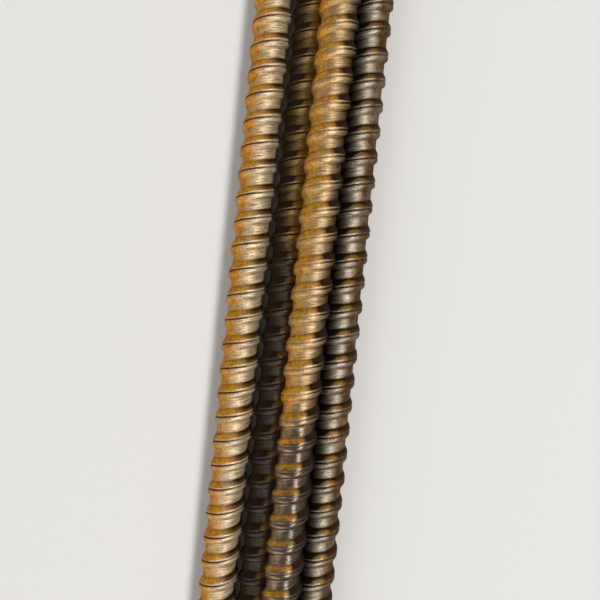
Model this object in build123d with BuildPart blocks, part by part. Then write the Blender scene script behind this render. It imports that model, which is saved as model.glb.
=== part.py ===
from build123d import *
import os
from math import sqrt

# Sizes in millimetres. The bars lie along Y on a level floor at z = 0, +Z up.
bar_length = 1000.0  # a cut length such bars are sold in
bar_diameter = 16.0  # over the crests of the rolled thread
end_chamfer = 0.8  # broken edge round each cut end

seat_clearance = 0.2  # air where one bar rests on another
side_clearance = 0.2  # air between the two floor bars that lie against each other
right_floor_gap = 8.0  # clear gap between the two floor bars under the top bar

# How far each bar is pushed along its length, as loose bars never lie with flush ends
floor_left_slide = -3.0
floor_middle_slide = 6.0
floor_right_slide = -6.0
top_slide = -1.5

# Spacing of the floor bars, and how high the top bar sits in the valley between two of them
bar_radius = bar_diameter / 2
left_span = bar_diameter + side_clearance
right_span = bar_diameter + right_floor_gap
seat_distance = bar_diameter + seat_clearance
top_rise = sqrt(seat_distance**2 - (right_span / 2) ** 2)

# The three floor bars share the origin's centre line, and the top bar sits midway between two of them
floor_left_x = -(left_span + right_span) / 2
floor_middle_x = floor_left_x + left_span
floor_right_x = floor_middle_x + right_span
top_x = (floor_middle_x + floor_right_x) / 2
floor_z = bar_radius
top_z = floor_z + top_rise

# The origin stays midway between the foremost and the rearmost bar end
slides = [floor_left_slide, floor_middle_slide, floor_right_slide, top_slide]
middle_y = (max(slides) + min(slides)) / 2


def lay_bar(name, x, z, slide):
    """One straight round bar of stock length with broken edges at both cut ends."""
    with BuildPart() as bar:
        with BuildSketch(Plane(origin=(x, slide - middle_y, z), x_dir=(1, 0, 0), z_dir=(0, -1, 0))):
            Circle(bar_radius)
        extrude(amount=bar_length / 2, both=True)
        chamfer(bar.edges().filter_by(GeomType.CIRCLE), end_chamfer)
    bar.part.label = name
    return bar


# The three bars that lie on the floor
floor_left_bar = lay_bar("floor_left_bar", floor_left_x, floor_z, floor_left_slide)
floor_middle_bar = lay_bar("floor_middle_bar", floor_middle_x, floor_z, floor_middle_slide)
floor_right_bar = lay_bar("floor_right_bar", floor_right_x, floor_z, floor_right_slide)

# The bar that rests in the valley between the middle and the right one
top_bar = lay_bar("top_bar", top_x, top_z, top_slide)

os.makedirs("parts", exist_ok=True)
export_step(floor_left_bar.part, "parts/floor_left_bar.step")
export_step(floor_middle_bar.part, "parts/floor_middle_bar.step")
export_step(floor_right_bar.part, "parts/floor_right_bar.step")
export_step(top_bar.part, "parts/top_bar.step")
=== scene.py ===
import bpy
import bmesh
import math
from mathutils import Matrix, Vector, noise


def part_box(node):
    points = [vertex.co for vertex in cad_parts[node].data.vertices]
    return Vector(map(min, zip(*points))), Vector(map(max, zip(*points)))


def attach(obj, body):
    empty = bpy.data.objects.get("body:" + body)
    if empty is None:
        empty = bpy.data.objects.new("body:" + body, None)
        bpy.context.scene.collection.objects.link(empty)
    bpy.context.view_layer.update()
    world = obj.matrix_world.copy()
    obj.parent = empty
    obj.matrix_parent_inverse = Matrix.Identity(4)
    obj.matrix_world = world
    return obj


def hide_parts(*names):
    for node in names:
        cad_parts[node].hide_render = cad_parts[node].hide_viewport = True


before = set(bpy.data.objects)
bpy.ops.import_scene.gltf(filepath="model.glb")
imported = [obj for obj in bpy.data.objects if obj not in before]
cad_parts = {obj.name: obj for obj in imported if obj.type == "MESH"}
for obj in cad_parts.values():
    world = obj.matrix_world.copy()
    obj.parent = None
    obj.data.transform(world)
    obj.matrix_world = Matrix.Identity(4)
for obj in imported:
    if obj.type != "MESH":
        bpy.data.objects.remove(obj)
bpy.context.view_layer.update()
mm = 0.001  # sizes below are in millimetres unless a note says otherwise


def linearColour(hexText):  # sRGB hex to the linear values that sockets take
    parts = [int(hexText[i:i + 2], 16) / 255 for i in (1, 3, 5)]
    return [p / 12.92 if p <= 0.04045 else ((p + 0.055) / 1.055) ** 2.4 for p in parts] + [1.0]


def addNode(tree, kind, inputs, stops=(), **settings):  # one node with its settings, and its links or values
    node = tree.nodes.new(kind)
    for name, value in settings.items():
        setattr(node, name, value)
    for socket, value in inputs.items():
        if isinstance(value, bpy.types.Node):
            value = value.outputs[0]
        if isinstance(value, bpy.types.NodeSocket):
            tree.links.new(value, node.inputs[socket])
        else:
            node.inputs[socket].default_value = value
    for index, (place, colour) in enumerate(stops):  # a colour ramp starts with two stops
        if index > 1:
            node.color_ramp.elements.new(place)
        node.color_ramp.elements[index].position = place
        node.color_ramp.elements[index].color = colour
    return node


# The thread that is rolled along the whole bar: one start, right-hand
thread = {
    "pitch": 10.0,
    "crestRadius": 7.9,
    "rootRadius": 6.65,
    "stepsPerTurn": 32,
    "turnsBefore": 1,  # turns wound ahead of the near end, and past the far one, before both are sawn off
    "turnsPast": 3,
    "joinWithin": 0.02,
    "waver": 0.07,  # how far the crest strays from a true line, as rolled steel does
    "waverLength": 5.0,
    "ripple": (0.6, 3.1),  # a finer waver: its share of the main one, and how many times finer it is
    "sideways": (1.5, 0.8),  # the same two for the way that the crest strays along the bar
    "seedStep": 31,
}

cutEnd = {
    "chamfer": 0.8,
    "capRadius": 7.2,
    "planeWithin": 0.0001,  # how near the saw's plane a point counts as in it, for the cut and for its rim
    "rimWithin": 0.001,
    "capSides": 6,  # a face with this many sides or more is a cap, which stays flat
    "steel": "#8b8884",
    "rust": "#6a4a2c",
    "rough": 0.36,
    "metal": 0.95,
    "lineWidth": 0.22,  # lines that the saw leaves across the end
    "lineLength": 30.0,
    "lineSeed": 9,
    "lineDetail": 2.0,
    "spans": {
        "sawn": (0.88, 0.94),  # how squarely the surface faces along the bar, to sawn or not
        "shade": (0.3, 0.7, 0.82, 1.14),
        "rust": (0.5, 0.66, 0.06, 0.6),  # patches, to rust
    },
}

# crestAt is where a crest crosses the top of the bar, along Y, and groove how far the rolls left it unfilled.
# Sides are in degrees from straight up towards +X: the side with rust, whose tone also paints light there (a
# golden painted reflection, and dark painted shade on floor_right_bar), and the side darkened by painted
# shade.
# flank is the side where the long flank shows its golden rust, partly a painted reflection, while painted
# shade darkens the flank away from it; the cosines are where that painted shade is full and gone.
# The last key is how far along Y a painted shadow, on darker and glossier oiled steel, still covers the bar,
# from the near end on.
bars = {
    "floor_left_bar": {
        "crestAt": 0.2, "seed": 1.0, "groove": 0.3,
        "crest": "#d2bc9a", "root": "#bca681", "rustAndPaintedLightColour": "#bc8020", "flankRustAndReflection": "#cc8c1c",
        "rust": 1.0, "rustAndLightSide": -66, "flank": (-66, -0.45, 0.45), "paintedShade": 0.0, "paintedShadeSide": 120,
        "metal": 0.6, "rough": 0.32, "shadowAndOilTo": None,
    },
    "top_bar": {
        "crestAt": 4.5, "seed": 7.0, "groove": 0.1,
        "crest": "#c0a37b", "root": "#9a7e58", "rustAndPaintedLightColour": "#c08a34", "flankRustAndReflection": "#d09428",
        "rust": 0.9, "rustAndLightSide": -68, "flank": (-68, -0.5, 0.3), "paintedShade": 0.95, "paintedShadeSide": 90,
        "metal": 0.8, "rough": 0.25, "shadowAndOilTo": -48,
    },
    "floor_right_bar": {
        "crestAt": 6.8, "seed": 13.0, "groove": 0.26,
        "crest": "#aa9c88", "root": "#a39680", "rustAndPaintedLightColour": "#3a2a12", "flankRustAndReflection": "#94681c",
        "rust": 1.0, "rustAndLightSide": 78, "flank": (12, 0.84, 0.97), "paintedShade": 0.95, "paintedShadeSide": -65,
        "metal": 0.9, "rough": 0.18, "shadowAndOilTo": None,
    },
    "floor_middle_bar": {
        "crestAt": 5.2, "seed": 19.0, "groove": 0.2,
        "crest": "#b08f5c", "root": "#8a6a3c", "rustAndPaintedLightColour": "#b08034", "flankRustAndReflection": "#b08034",
        "rust": 0.8, "rustAndLightSide": 70, "flank": (70, 0.0, 0.6), "paintedShade": 1.0, "paintedShadeSide": -45,
        "metal": 0.8, "rough": 0.3, "shadowAndOilTo": 20,
    },
}


def threadProfile(groove):  # (distance from the middle of a crest, radius) over one pitch
    root, crest = thread["rootRadius"], thread["crestRadius"]
    half = thread["pitch"] / 2
    return [
        (-half, root), (-4.2, root), (-3.5, root),
        (-3.05, root + 0.04), (-2.8, root + 0.17), (-2.55, root + 0.43),  # the steep flank
        (-2.25, crest - 0.45), (-1.95, crest - 0.2), (-1.6, crest - 0.06),
        (-1.1, crest), (-0.6, crest - 0.03),
        (-0.4, crest - groove * 0.6), (-0.2, crest - groove),  # the groove along the crest
        (0.05, crest - groove), (0.25, crest - groove * 0.4),
        (0.45, crest - 0.02), (0.75, crest - 0.06),
        (1.2, crest - 0.2), (1.8, crest - 0.42), (2.3, crest - 0.68),  # the long flank
        (2.75, root + 0.3), (3.0, root + 0.12), (3.3, root + 0.02),
        (3.8, root), (half, root),
    ]


def windThread(shape, finish, nearY, farY):  # one turn of one pitch, doubled until it is longer than the bar
    pitch, steps = thread["pitch"], thread["stepsPerTurn"]
    turns = math.ceil((farY - nearY) / pitch) + thread["turnsPast"]
    firstTurn = math.floor((nearY - finish["crestAt"]) / pitch - thread["turnsBefore"])
    firstCrest = finish["crestAt"] + pitch * firstTurn
    profile = threadProfile(finish["groove"])
    points = [shape.verts.new((0, firstCrest + along, radius)) for along, radius in profile]
    edges = [shape.edges.new(pair) for pair in zip(points, points[1:])]
    bmesh.ops.spin(shape, geom=points + edges, cent=(0, 0, 0), axis=(0, 1, 0), dvec=(0, pitch / steps, 0),
                   angle=2 * math.pi, steps=steps, use_merge=False)
    length = 1
    while length < turns:  # each copy carries the thread on from where the last turn ends
        copied = bmesh.ops.duplicate(shape, geom=shape.verts[:] + shape.edges[:] + shape.faces[:])["geom"]
        moved = [v for v in copied if isinstance(v, bmesh.types.BMVert)]
        bmesh.ops.translate(shape, vec=(0, length * pitch, 0), verts=moved)
        length *= 2
    bmesh.ops.remove_doubles(shape, verts=shape.verts, dist=thread["joinWithin"])


def waverCrest(shape, seed):  # the crest wavers a little, and the root stays round
    start = Vector((seed * thread["seedStep"], 0, 0))
    rippleShare, rippleFiner = thread["ripple"]
    sidewaysShare, sidewaysFiner = thread["sideways"]
    for vert in shape.verts:
        reach = math.hypot(vert.co.x, vert.co.z)
        lift = (reach - thread["rootRadius"]) / (thread["crestRadius"] - thread["rootRadius"])
        spot = (vert.co + start) / thread["waverLength"]
        stray = thread["waver"] * lift * (noise.noise(spot) + rippleShare * noise.noise(spot * rippleFiner))
        vert.co.x *= 1 + stray / reach
        vert.co.z *= 1 + stray / reach
        vert.co.y += thread["waver"] * lift * sidewaysShare * noise.noise(spot * sidewaysFiner + start)


def sawEnd(shape, endY, outward):  # square, with a broken edge
    cutY = endY - outward * cutEnd["chamfer"]
    bmesh.ops.bisect_plane(shape, geom=shape.verts[:] + shape.edges[:] + shape.faces[:],
                           dist=cutEnd["planeWithin"], plane_co=(0, cutY, 0), plane_no=(0, outward, 0),
                           clear_outer=True)
    within = cutEnd["rimWithin"]
    rim = [e for e in shape.edges if e.is_boundary and all(abs(v.co.y - cutY) < within for v in e.verts)]
    made = bmesh.ops.extrude_edge_only(shape, edges=rim)["geom"]
    for vert in made:
        if isinstance(vert, bmesh.types.BMVert):
            vert.co.y = endY
            reach = math.hypot(vert.co.x, vert.co.z)
            if reach > cutEnd["capRadius"]:
                vert.co.x *= cutEnd["capRadius"] / reach
                vert.co.z *= cutEnd["capRadius"] / reach
    outer = [e for e in made if isinstance(e, bmesh.types.BMEdge)]
    bmesh.ops.contextual_create(shape, geom=outer)
    for edge in outer:
        edge.smooth = False


def makeThreadedBar(node, finish):
    low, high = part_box(node)
    axisX, axisZ = (low[0] + high[0]) / 2, (low[2] + high[2]) / 2
    nearY, farY = low[1] / mm, high[1] / mm
    shape = bmesh.new()
    windThread(shape, finish, nearY, farY)
    waverCrest(shape, finish["seed"])
    sawEnd(shape, nearY, -1)
    sawEnd(shape, farY, 1)
    for face in shape.faces:
        face.smooth = len(face.verts) < cutEnd["capSides"]
    bmesh.ops.recalc_face_normals(shape, faces=shape.faces)
    openEdges = sum(1 for edge in shape.edges if not edge.is_manifold)
    bmesh.ops.transform(shape, matrix=Matrix.Scale(mm, 4), verts=shape.verts)
    bmesh.ops.translate(shape, vec=(axisX, 0, axisZ), verts=shape.verts)
    volume = shape.calc_volume(signed=True) / mm ** 3 / 1000  # in cubic centimetres
    mesh = bpy.data.meshes.new("threaded_" + node)
    shape.to_mesh(mesh)
    shape.free()
    piece = bpy.data.objects.new("threaded_" + node, mesh)
    bpy.context.scene.collection.objects.link(piece)
    mesh.materials.append(rolledSteel(node, finish, axisX, axisZ))
    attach(piece, "root")
    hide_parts(node)
    triangles = sum(len(face.vertices) - 2 for face in mesh.polygons)
    print("made", piece.name, triangles, "triangles", openEdges, "open edges", round(volume, 1), "cm3")


# Rolled carbon steel under a thin brown film of rust and oil. The rolls burnish the crests and draw fine
# lines along the thread, dirt and painted shade darken the corners, and light rust shows golden on the
# flanks, partly as a painted reflection.
# Painted shade also darkens one side of a bar and part of its long flanks, and a painted shadow darkens a
# stretch of oiled steel.
steelFilm = {
    "lineWidth": 0.3,  # lines that the rolls leave along the thread, as coarse as they need to be to show
    "lineLength": 6.0,
    "noises": {  # size, seed added to the bar's own, detail and roughness
        "wander": (4.0, 5, 3.0, 0.6),
        "pits": (0.35, 0, 3.0, 0.6),
        "patch": (9.0, 3, 5.0, 0.65),
        "mottle": (1.8, 7, 5.0, 0.7),
    },
    "lineDetail": (3.0, 0.65),
    "wander": 0.14,  # how far the edges of dirt, painted shade and rust stray from the thread's own lines
    # the colour of dirt, and of painted shade
    "dirtAndShade": "#20160c",
    "oldRust": "#6a4520",  # darker rust in mottles and towards the underside
    # darker steel under a painted shadow, where the bar is also oiled
    "shadowedOilSteel": "#605850",
    "edge": "#a67c44",  # a brown film dims what the steel mirrors at a glance
    "shadowEdge": 12.0,  # how softly the painted shadow and its oil end
    "shadowStray": 36.0,
    "coat": 0.1,
    "coatRough": 0.2,
    "relief": 0.2,  # height of the lines and pits
    "reliefStrength": 0.8,
    # Across one pitch, from root middle over the crest to the next root middle: dirt and painted shade in the
    # corners, rust (golden on the long flank, partly a painted reflection), polish, and dirt in the crest's
    # groove
    "across": (
        (0.00, (0.00, 0.05, 0.60, 0)), (0.155, (0.00, 0.08, 0.60, 0)), (0.18, (0.20, 0.20, 0.50, 0)),
        (0.21, (0.05, 0.15, 0.60, 0)), (0.28, (0.00, 0.10, 0.90, 0)), (0.36, (0.00, 0.08, 1.00, 0)),
        (0.435, (0.00, 0.00, 1.00, 0)), (0.465, (0.00, 0.15, 0.60, 1.0)), (0.51, (0.00, 0.15, 0.60, 1.0)),
        (0.535, (0.00, 0.00, 1.00, 0)), (0.575, (0.00, 0.05, 1.00, 0)), (0.61, (0.05, 0.80, 0.60, 0)),
        (0.74, (0.05, 1.00, 0.60, 0)), (0.78, (0.40, 0.90, 0.50, 0)), (0.81, (0.40, 0.50, 0.50, 0)),
        (0.85, (0.05, 0.15, 0.50, 0)), (0.90, (0.00, 0.05, 0.60, 0)), (1.00, (0.00, 0.05, 0.60, 0)),
    ),
    # The two ends of a measure, and what each is turned to where that isn't 0 and 1
    "spans": {
        "strayed": (0.25, 0.75),
        "facingRustAndLight": (0.2, 0.8, 0.0, 1.2),  # how far a point faces the side with rust, to rust whose tone also paints light: a golden painted reflection, and dark painted shade on floor_right_bar
        # how far a point faces the side with painted shade, to how much of that painted shade
        "shadeCovered": (-0.05, 0.75),
        "dry": (0.0, 1.0, 1.0, 0.15),  # oil under the painted shadow, to the rust that is left on the side with rust and painted light
        "rubbed": (0.0, 1.0, 1.0, 0.8),  # polish, to the same
        "grain": (0.58, 0.72, 0.0, 0.55),  # pits, to the dirt in them
        "cornerPatch": (0.3, 0.6, 1.0, 0.7),  # patches, to the dirt and painted shade left in corners
        "lineShade": (0.39, 0.61, 0.15, 1.85),
        "rustShade": (0.36, 0.64, 0.6, 1.6),
        "mottled": (0.44, 0.62, 0.0, 0.6),
        "under": (4.0, -4.0, 0.0, 0.6),  # height over the bar's axis, to old rust
        "unfilled": (0.0, 1.0, 1.0, 0.35),  # oil under the painted shadow, to the relief that it leaves open
    },
    # How much of one thing goes into another
    "shares": {
        # painted shade on the long flank, on the side away from the light
        "flankPaintedShade": 0.95,
        "grooveDirt": 1.5,  # for each millimetre of the groove's depth, and twice that where the long flank has no painted shade
        "evenRust": 0.5,  # what part of the rust isn't in patches
        # polish keeps the painted shade off the crests
        "shadeOffPolish": -0.4,
        "pitGrain": 0.4,
        "pitRelief": -0.6,
        "rootRough": 0.1,
        "lineRough": 0.18,
        "rustRough": 0.12,
        "dirtRough": 0.25,
        "shadowAndOilRough": -0.15,
        "rustMetal": -0.2,
        "dirtMetal": -0.1,
    },
    # Where patches of rust start and are full on a clean bar, and how far a rustier bar lowers that
    "patchFrom": (0.62, -0.3),
    "patchFull": (0.75, -0.15),
}
shares = steelFilm["shares"]


def spanOf(look, name):  # a span's numbers under the sockets that take them
    return dict(zip((1, 2, 3, 4), look["spans"][name]))


def threadPlace(tree, finish, axisX, axisZ):  # the point in millimetres from the bar's own axis, and its turn
    place = addNode(tree, "ShaderNodeTexCoord", {}).outputs
    local = addNode(tree, "ShaderNodeMapping", {
        "Vector": place["Object"], "Location": (-axisX / mm, -finish["crestAt"], -axisZ / mm),
        "Scale": (1 / mm, 1 / mm, 1 / mm)})
    axes = addNode(tree, "ShaderNodeSeparateXYZ", {0: local}).outputs
    turn = addNode(tree, "ShaderNodeMath", {0: axes[0], 1: axes[2]}, operation="ARCTAN2")
    turnPart = addNode(tree, "ShaderNodeMath", {0: turn, 1: 1 / (2 * math.pi)}, operation="MULTIPLY")
    pitches = addNode(tree, "ShaderNodeMath", {0: axes[1], 1: 1 / thread["pitch"]}, operation="MULTIPLY")
    phase = addNode(tree, "ShaderNodeMath", {0: pitches, 1: turnPart}, operation="SUBTRACT")
    return {"normal": place["Normal"], "local": local, "axes": axes, "phase": phase}


def steelNoises(tree, seed, spot):
    noises = {}
    for name, (size, added, detail, roughness) in steelFilm["noises"].items():
        noises[name] = addNode(tree, "ShaderNodeTexNoise", {
            "Vector": spot["local"], "W": seed + added, "Scale": 1 / size, "Detail": detail,
            "Roughness": roughness}, noise_dimensions="4D")

    # Lines follow the thread: a ring one pitch round stands for the way across it
    ring = thread["pitch"] / (2 * math.pi * steelFilm["lineWidth"])
    angle = addNode(tree, "ShaderNodeMath", {0: spot["phase"], 1: 2 * math.pi}, operation="MULTIPLY")
    cosine = addNode(tree, "ShaderNodeMath", {0: angle}, operation="COSINE")
    sine = addNode(tree, "ShaderNodeMath", {0: angle}, operation="SINE")
    ringX = addNode(tree, "ShaderNodeMath", {0: cosine, 1: ring}, operation="MULTIPLY")
    ringZ = addNode(tree, "ShaderNodeMath", {0: sine, 1: ring}, operation="MULTIPLY")
    lineTurns = 2 * math.pi * thread["crestRadius"] / thread["pitch"] / steelFilm["lineLength"]
    wound = addNode(tree, "ShaderNodeMath", {0: spot["axes"][1], 1: lineTurns}, operation="MULTIPLY")
    lineSpot = addNode(tree, "ShaderNodeCombineXYZ", {0: ringX, 1: ringZ, 2: wound})
    detail, roughness = steelFilm["lineDetail"]
    noises["lines"] = addNode(tree, "ShaderNodeTexNoise", {
        "Vector": lineSpot, "W": seed, "Scale": 1.0, "Detail": detail, "Roughness": roughness},
        noise_dimensions="4D")
    return noises


def threadLayers(tree, phase, wander):  # what lies where across the thread, with edges that stray a little
    reach = steelFilm["wander"] / thread["pitch"]
    strayPart = addNode(tree, "ShaderNodeMapRange", {
        0: wander, **spanOf(steelFilm, "strayed"), 3: 0.5 - reach, 4: 0.5 + reach})
    strayed = addNode(tree, "ShaderNodeMath", {0: phase, 1: strayPart}, operation="ADD")
    across = addNode(tree, "ShaderNodeMath", {0: strayed}, operation="FRACT")
    layers = addNode(tree, "ShaderNodeValToRGB", {"Fac": across}, stops=steelFilm["across"])
    packed = addNode(tree, "ShaderNodeSeparateColor", {0: layers}).outputs
    return {"dirtAndShade": packed[0], "rust": packed[1], "polish": packed[2], "groove": layers.outputs["Alpha"]}


def sidesOf(tree, finish, local):  # how far a point faces each of the bar's sides
    degrees = {"rust": finish["rustAndLightSide"], "paintedShade": finish["paintedShadeSide"], "flank": finish["flank"][0]}
    sides = {}
    for name in degrees:
        way, radius = math.radians(degrees[name]), thread["crestRadius"]
        facing = addNode(tree, "ShaderNodeVectorMath", {
            0: local, 1: (math.sin(way) / radius, 0, math.cos(way) / radius)}, operation="DOT_PRODUCT")
        sides[name] = facing.outputs["Value"]
    return sides


def shadowAndOilOn(tree, finish, patch, along):  # a painted shadow on darker, glossier oiled steel, from one end of the bar up to a ragged edge
    if finish["shadowAndOilTo"] is None:
        return 0.0
    shadowAndOilTo, edge = finish["shadowAndOilTo"] + steelFilm["shadowStray"] / 2, steelFilm["shadowEdge"]
    strayed = addNode(tree, "ShaderNodeMath", {0: patch, 1: steelFilm["shadowStray"], 2: along},
                      operation="MULTIPLY_ADD")
    return addNode(tree, "ShaderNodeMapRange", {0: strayed, 1: shadowAndOilTo - edge, 2: shadowAndOilTo + edge, 3: 1.0, 4: 0.0},
                   interpolation_type="SMOOTHSTEP")


# Rust lies on the flanks and on one side, in patches, and less where the steel is polished or oiled under the
# painted shadow. On that side it also paints light: a golden painted reflection, and dark painted shade on
# floor_right_bar
def rustAndPaintedLightOn(tree, finish, layers, side, patch, shadowAndOil):
    # rust on one side also paints light: a golden painted reflection, and dark painted shade on
    # floor_right_bar
    facingRustAndLight = addNode(tree, "ShaderNodeMapRange", {0: side, **spanOf(steelFilm, "facingRustAndLight")},
                        interpolation_type="SMOOTHSTEP")
    dry = addNode(tree, "ShaderNodeMapRange", {0: shadowAndOil, **spanOf(steelFilm, "dry")})
    rubbed = addNode(tree, "ShaderNodeMapRange", {0: layers["polish"], **spanOf(steelFilm, "rubbed")})
    sideRustAndLight = addNode(tree, "ShaderNodeMath", {0: facingRustAndLight, 1: dry}, operation="MULTIPLY")
    rustThere = addNode(tree, "ShaderNodeMath", {0: sideRustAndLight, 1: rubbed, 2: layers["rust"]},
                        operation="MULTIPLY_ADD")
    patchFrom, patchFull = (start + change * finish["rust"] for start, change in
                            (steelFilm["patchFrom"], steelFilm["patchFull"]))
    patchy = addNode(tree, "ShaderNodeMapRange", {0: patch, 1: patchFrom, 2: patchFull},
                     interpolation_type="SMOOTHSTEP")
    rustSoft = addNode(tree, "ShaderNodeMath", {
        0: patchy, 1: 1 - shares["evenRust"], 2: shares["evenRust"] * finish["rust"]},
        operation="MULTIPLY_ADD")
    return addNode(tree, "ShaderNodeMath", {0: rustThere, 1: rustSoft}, operation="MULTIPLY", use_clamp=True)


# Dirt lies in pits and in the crest's groove. Dirt and painted shade darken the corners, and painted shade
# lies on one side of the bar and on the long flank away from the light
def dirtAndShadeOn(tree, finish, layers, sides, noises):
    # painted shade on one side of the bar, lighter on polished crests
    shadeWide = addNode(tree, "ShaderNodeMath", {
        0: layers["polish"], 1: shares["shadeOffPolish"], 2: sides["paintedShade"]}, operation="MULTIPLY_ADD")
    shadeCovered = addNode(tree, "ShaderNodeMapRange", {
        0: shadeWide, **spanOf(steelFilm, "shadeCovered"), 4: finish["paintedShade"]}, interpolation_type="SMOOTHSTEP")
    grain = addNode(tree, "ShaderNodeMapRange", {0: noises["pits"], **spanOf(steelFilm, "grain")},
                    interpolation_type="SMOOTHSTEP")
    dirtFull, dirtGone = finish["flank"][1:]
    # painted shade on the long flank, on the side away from the light
    flankPaintedShade = addNode(tree, "ShaderNodeMapRange", {
        0: sides["flank"], 1: dirtFull, 2: dirtGone, 3: shares["flankPaintedShade"], 4: 0.0},
        interpolation_type="SMOOTHSTEP")
    cornerPatch = addNode(tree, "ShaderNodeMapRange", {
        0: noises["patch"], **spanOf(steelFilm, "cornerPatch")})
    grooveDirt = finish["groove"] * shares["grooveDirt"]
    grooveDepth = addNode(tree, "ShaderNodeMapRange", {
        0: flankPaintedShade, 3: min(1.0, 2 * grooveDirt), 4: grooveDirt})
    inGroove = addNode(tree, "ShaderNodeMath", {0: layers["groove"], 1: grooveDepth}, operation="MULTIPLY")
    inCorner = addNode(tree, "ShaderNodeMath", {0: layers["dirtAndShade"], 1: cornerPatch, 2: inGroove},
                       operation="MULTIPLY_ADD")
    corners = addNode(tree, "ShaderNodeMath", {0: layers["rust"], 1: flankPaintedShade, 2: inCorner},
                      operation="MULTIPLY_ADD")
    dirtBoth = addNode(tree, "ShaderNodeMath", {0: corners, 1: grain}, operation="ADD")
    return addNode(tree, "ShaderNodeMath", {0: shadeCovered, 1: dirtBoth}, operation="ADD", use_clamp=True)


def steelTone(tree, finish, spot, layers, noises, shadowAndOil, rust, dirtAndShade):
    bare = addNode(tree, "ShaderNodeMix", {
        0: layers["polish"], 6: linearColour(finish["root"]), 7: linearColour(finish["crest"])},
        data_type="RGBA").outputs[2]
    # painted shadow: towards the near end the steel turns to darker oiled steel
    steel = addNode(tree, "ShaderNodeMix", {0: shadowAndOil, 6: bare, 7: linearColour(steelFilm["shadowedOilSteel"])},
                    data_type="RGBA").outputs[2]
    # golden rust on the long flank, partly a painted reflection
    rustTone = addNode(tree, "ShaderNodeMix", {
        0: layers["rust"], 6: linearColour(finish["rustAndPaintedLightColour"]), 7: linearColour(finish["flankRustAndReflection"])},
        data_type="RGBA").outputs[2]
    mottled = addNode(tree, "ShaderNodeMapRange", {0: noises["mottle"], **spanOf(steelFilm, "mottled")},
                      interpolation_type="SMOOTHSTEP")
    under = addNode(tree, "ShaderNodeMapRange", {0: spot["axes"][2], **spanOf(steelFilm, "under")},
                    interpolation_type="SMOOTHSTEP")
    oldRust = addNode(tree, "ShaderNodeMath", {0: mottled, 1: under}, operation="ADD", use_clamp=True)
    rustAll = addNode(tree, "ShaderNodeMix", {0: oldRust, 6: rustTone, 7: linearColour(steelFilm["oldRust"])},
                      data_type="RGBA").outputs[2]
    rusted = addNode(tree, "ShaderNodeMix", {0: rust, 6: steel, 7: rustAll}, data_type="RGBA").outputs[2]

    # Lines shade the steel, and grain shades the rust
    grained = addNode(tree, "ShaderNodeMix", {0: shares["pitGrain"], 2: noises["lines"], 3: noises["pits"]})
    lineShade = addNode(tree, "ShaderNodeMapRange", {0: grained, **spanOf(steelFilm, "lineShade")})
    rustShade = addNode(tree, "ShaderNodeMapRange", {0: noises["pits"], **spanOf(steelFilm, "rustShade")})
    shade = addNode(tree, "ShaderNodeMix", {0: rust, 2: lineShade, 3: rustShade})
    drawn = addNode(tree, "ShaderNodeVectorMath", {0: rusted, "Scale": shade}, operation="SCALE")
    # dirt and painted shade darken the steel
    return addNode(tree, "ShaderNodeMix", {0: dirtAndShade, 6: drawn, 7: linearColour(steelFilm["dirtAndShade"])},
                   data_type="RGBA").outputs[2]


def sawnEnd(tree, finish, spot, patch):  # plain cut steel with straight saw lines and a little rust
    facing = addNode(tree, "ShaderNodeSeparateXYZ", {0: spot["normal"]}).outputs[1]
    endwise = addNode(tree, "ShaderNodeMath", {0: facing}, operation="ABSOLUTE")
    sawn = addNode(tree, "ShaderNodeMapRange", {0: endwise, **spanOf(cutEnd, "sawn")})
    sawSpot = addNode(tree, "ShaderNodeMapping", {
        "Vector": spot["local"], "Rotation": (0, finish["seed"], 0),
        "Scale": (1 / cutEnd["lineWidth"], 0, 1 / cutEnd["lineLength"])})
    sawLines = addNode(tree, "ShaderNodeTexNoise", {
        "Vector": sawSpot, "W": finish["seed"] + cutEnd["lineSeed"], "Scale": 1.0,
        "Detail": cutEnd["lineDetail"]}, noise_dimensions="4D")
    sawShade = addNode(tree, "ShaderNodeMapRange", {0: sawLines, **spanOf(cutEnd, "shade")})
    sawSteel = addNode(tree, "ShaderNodeVectorMath", {
        0: linearColour(cutEnd["steel"])[:3], "Scale": sawShade}, operation="SCALE")
    sawRust = addNode(tree, "ShaderNodeMapRange", {0: patch, **spanOf(cutEnd, "rust")})
    sawTone = addNode(tree, "ShaderNodeMix", {
        0: sawRust, 6: sawSteel, 7: linearColour(cutEnd["rust"])}, data_type="RGBA").outputs[2]
    return sawn, sawTone, sawLines


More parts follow.
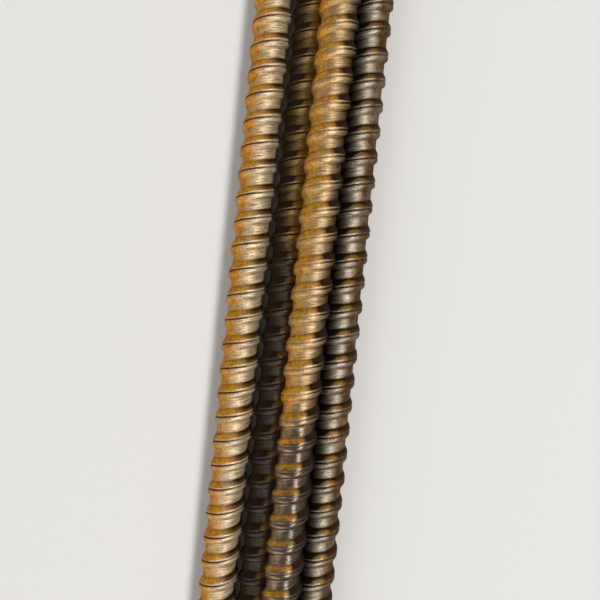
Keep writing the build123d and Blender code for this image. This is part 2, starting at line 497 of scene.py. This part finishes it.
def rolledSteel(node, finish, axisX, axisZ):
    material = bpy.data.materials.new("rolled_steel_" + node)
    material.use_nodes = True
    tree = material.node_tree
    tree.nodes.clear()
    spot = threadPlace(tree, finish, axisX, axisZ)
    noises = steelNoises(tree, finish["seed"], spot)
    layers = threadLayers(tree, spot["phase"], noises["wander"])
    sides = sidesOf(tree, finish, spot["local"])
    # a painted shadow over oiled steel, from the near end
    shadowAndOil = shadowAndOilOn(tree, finish, noises["patch"], spot["axes"][1])
    # rust, whose tone on one side and on the long flanks also paints light
    rust = rustAndPaintedLightOn(tree, finish, layers, sides["rust"], noises["patch"], shadowAndOil)
    # dirt, with painted shade in the corners, on one side and on the long flanks
    dirtAndShade = dirtAndShadeOn(tree, finish, layers, sides, noises)
    tone = steelTone(tree, finish, spot, layers, noises, shadowAndOil, rust, dirtAndShade)
    sawn, sawTone, sawLines = sawnEnd(tree, finish, spot, noises["patch"])

    # Rust, dirt and painted shade are dull, and the oiled steel under the painted shadow is glossy
    roughBase = addNode(tree, "ShaderNodeMapRange", {
        0: layers["polish"], 3: finish["rough"] + shares["rootRough"], 4: finish["rough"]})
    roughLines = addNode(tree, "ShaderNodeMath", {0: noises["lines"], 1: shares["lineRough"], 2: roughBase},
                         operation="MULTIPLY_ADD")
    roughRust = addNode(tree, "ShaderNodeMath", {0: rust, 1: shares["rustRough"], 2: roughLines},
                        operation="MULTIPLY_ADD")
    roughDirt = addNode(tree, "ShaderNodeMath", {0: dirtAndShade, 1: shares["dirtRough"], 2: roughRust},
                        operation="MULTIPLY_ADD")
    rough = addNode(tree, "ShaderNodeMath", {0: shadowAndOil, 1: shares["shadowAndOilRough"], 2: roughDirt},
                    operation="MULTIPLY_ADD", use_clamp=True)
    bareRust = addNode(tree, "ShaderNodeMath", {0: rust, 1: shares["rustMetal"], 2: finish["metal"]},
                       operation="MULTIPLY_ADD")
    metal = addNode(tree, "ShaderNodeMath", {0: dirtAndShade, 1: shares["dirtMetal"], 2: bareRust},
                    operation="MULTIPLY_ADD", use_clamp=True)

    # Oil fills the finest lines under the painted shadow, so the relief is lower there and the gloss runs in
    # one streak
    steelRelief = addNode(tree, "ShaderNodeMath", {
        0: noises["pits"], 1: shares["pitRelief"], 2: noises["lines"]}, operation="MULTIPLY_ADD")
    unfilled = addNode(tree, "ShaderNodeMapRange", {0: shadowAndOil, **spanOf(steelFilm, "unfilled")})
    threadRelief = addNode(tree, "ShaderNodeMath", {0: steelRelief, 1: unfilled}, operation="MULTIPLY")

    toneAll = addNode(tree, "ShaderNodeMix", {0: sawn, 6: tone, 7: sawTone}, data_type="RGBA").outputs[2]
    roughAll = addNode(tree, "ShaderNodeMix", {0: sawn, 2: rough, 3: cutEnd["rough"]})
    metalAll = addNode(tree, "ShaderNodeMix", {0: sawn, 2: metal, 3: cutEnd["metal"]})
    relief = addNode(tree, "ShaderNodeMix", {0: sawn, 2: threadRelief, 3: sawLines})
    bump = addNode(tree, "ShaderNodeBump", {
        "Height": relief, "Strength": steelFilm["reliefStrength"], "Distance": steelFilm["relief"] * mm})
    shader = addNode(tree, "ShaderNodeBsdfPrincipled", {
        "Base Color": toneAll, "Metallic": metalAll, "Roughness": roughAll, "Normal": bump,
        "Specular Tint": linearColour(steelFilm["edge"]), "Coat Weight": steelFilm["coat"],
        "Coat Roughness": steelFilm["coatRough"]})
    addNode(tree, "ShaderNodeOutputMaterial", {"Surface": shader})
    return material


for barNode, barFinish in bars.items():
    makeThreadedBar(barNode, barFinish)

# Pale painted floor, plain and matt
floorLook = {"colour": "#e2e0dc", "size": 8.0, "rough": 0.9, "gloss": 0.2}  # size in metres


def makeFloor():
    shape = bmesh.new()
    bmesh.ops.create_grid(shape, x_segments=1, y_segments=1, size=floorLook["size"] / 2)
    mesh = bpy.data.meshes.new("floor")
    shape.to_mesh(mesh)
    shape.free()
    floor = bpy.data.objects.new("floor", mesh)
    bpy.context.scene.collection.objects.link(floor)
    material = bpy.data.materials.new("matt_floor_paint")
    material.use_nodes = True
    shader = material.node_tree.nodes["Principled BSDF"]
    shader.inputs["Base Color"].default_value = linearColour(floorLook["colour"])
    shader.inputs["Roughness"].default_value = floorLook["rough"]
    shader.inputs["Specular IOR Level"].default_value = floorLook["gloss"]
    mesh.materials.append(material)


makeFloor()
print("floor laid")

# Soft boxes, in metres and watts: level is the side that stays level, and upright the one that leans
lightSet = {
    "key": {"from": (3.4, -0.4, 5.2), "to": (0, -0.4, 0), "level": 8.8, "upright": 1.2, "power": 384},
    "side": {"from": (-4.8, -7.8, 5.4), "to": (0, 0, 0), "level": 9.6, "upright": 6.0, "power": 427},
}

# An even room. Its pale backdrop stands low around the scene, for the camera and for what the steel mirrors.
room = {
    "light": 0.25,
    "backdrop": "#ebe9e5",
    "spans": {"backdrop": (0.2, 0.45, 1.0, 0.0)},  # height on a sphere round the scene, to backdrop or none
}


def makeLamps():
    for name, lamp in lightSet.items():
        light = bpy.data.lights.new(name, "AREA")
        light.shape = "RECTANGLE"
        light.size, light.size_y = lamp["level"], lamp["upright"]
        light.energy = lamp["power"]
        holder = bpy.data.objects.new(name, light)
        holder.location = lamp["from"]
        aim = Vector(lamp["to"]) - Vector(lamp["from"])
        holder.rotation_euler = aim.to_track_quat("-Z", "Y").to_euler()
        bpy.context.scene.collection.objects.link(holder)


def makeRoom():
    world = bpy.data.worlds.new("room")
    bpy.context.scene.world = world
    world.use_nodes = True
    tree = world.node_tree
    tree.nodes.clear()
    rays = addNode(tree, "ShaderNodeLightPath", {}).outputs
    mirrored = addNode(tree, "ShaderNodeMath", {0: rays["Is Glossy Ray"], 1: rays["Is Transmission Ray"]},
                       operation="MAXIMUM")
    looked = addNode(tree, "ShaderNodeMath", {0: rays["Is Camera Ray"], 1: mirrored}, operation="MAXIMUM")
    way = addNode(tree, "ShaderNodeSeparateXYZ", {0: addNode(tree, "ShaderNodeTexCoord", {})}).outputs
    around = addNode(tree, "ShaderNodeMapRange", {0: way[2], **spanOf(room, "backdrop")},
                     interpolation_type="SMOOTHSTEP")
    shown = addNode(tree, "ShaderNodeMath", {0: looked, 1: around}, operation="MULTIPLY")
    lit = addNode(tree, "ShaderNodeBackground", {"Color": (1, 1, 1, 1), "Strength": room["light"]})
    backdrop = addNode(tree, "ShaderNodeBackground", {
        "Color": linearColour(room["backdrop"]), "Strength": 1.0})
    both = addNode(tree, "ShaderNodeMixShader", {0: shown, 1: lit, 2: backdrop})
    addNode(tree, "ShaderNodeOutputWorld", {"Surface": both})


makeLamps()
makeRoom()
print("lights set")

# The camera looks down on the bars from close by, a little from the right, as the photograph does
view = {
    "focalPixels": 650,
    "imagePixels": 600,  # the image's width
    "sensor": 36,
    "clipStart": 0.005,  # metres
    "target": (3.83, 0.0, 18.3),
    "distance": 254.3,
    "tilt": 2.3,  # degrees towards the far ends of the bars
    "turn": 7.32,  # degrees about the bars' own line, towards +X
    "roll": 5.94,  # degrees, so that the bars lean to the right
}


def makeCamera():
    lens = bpy.data.cameras.new("photo_view")
    lens.sensor_width = view["sensor"]
    lens.lens = view["focalPixels"] / view["imagePixels"] * view["sensor"]
    lens.clip_start = view["clipStart"]
    holder = bpy.data.objects.new("photo_view", lens)
    tilt, turn, roll = (math.radians(view[name]) for name in ("tilt", "turn", "roll"))
    back = Vector((math.sin(turn) * math.cos(tilt), math.sin(tilt), math.cos(turn) * math.cos(tilt)))
    side = Vector((math.cos(roll), math.sin(roll), 0))
    side = (side - back * side.dot(back)).normalized()
    up = back.cross(side)
    place = Vector(view["target"]) * mm + back * view["distance"] * mm
    turned = Matrix((side, up, back)).transposed().to_4x4()
    holder.matrix_world = Matrix.Translation(place) @ turned
    bpy.context.scene.collection.objects.link(holder)
    bpy.context.scene.camera = holder


makeCamera()
bpy.context.scene.view_settings.view_transform = "Standard"
print("camera placed")
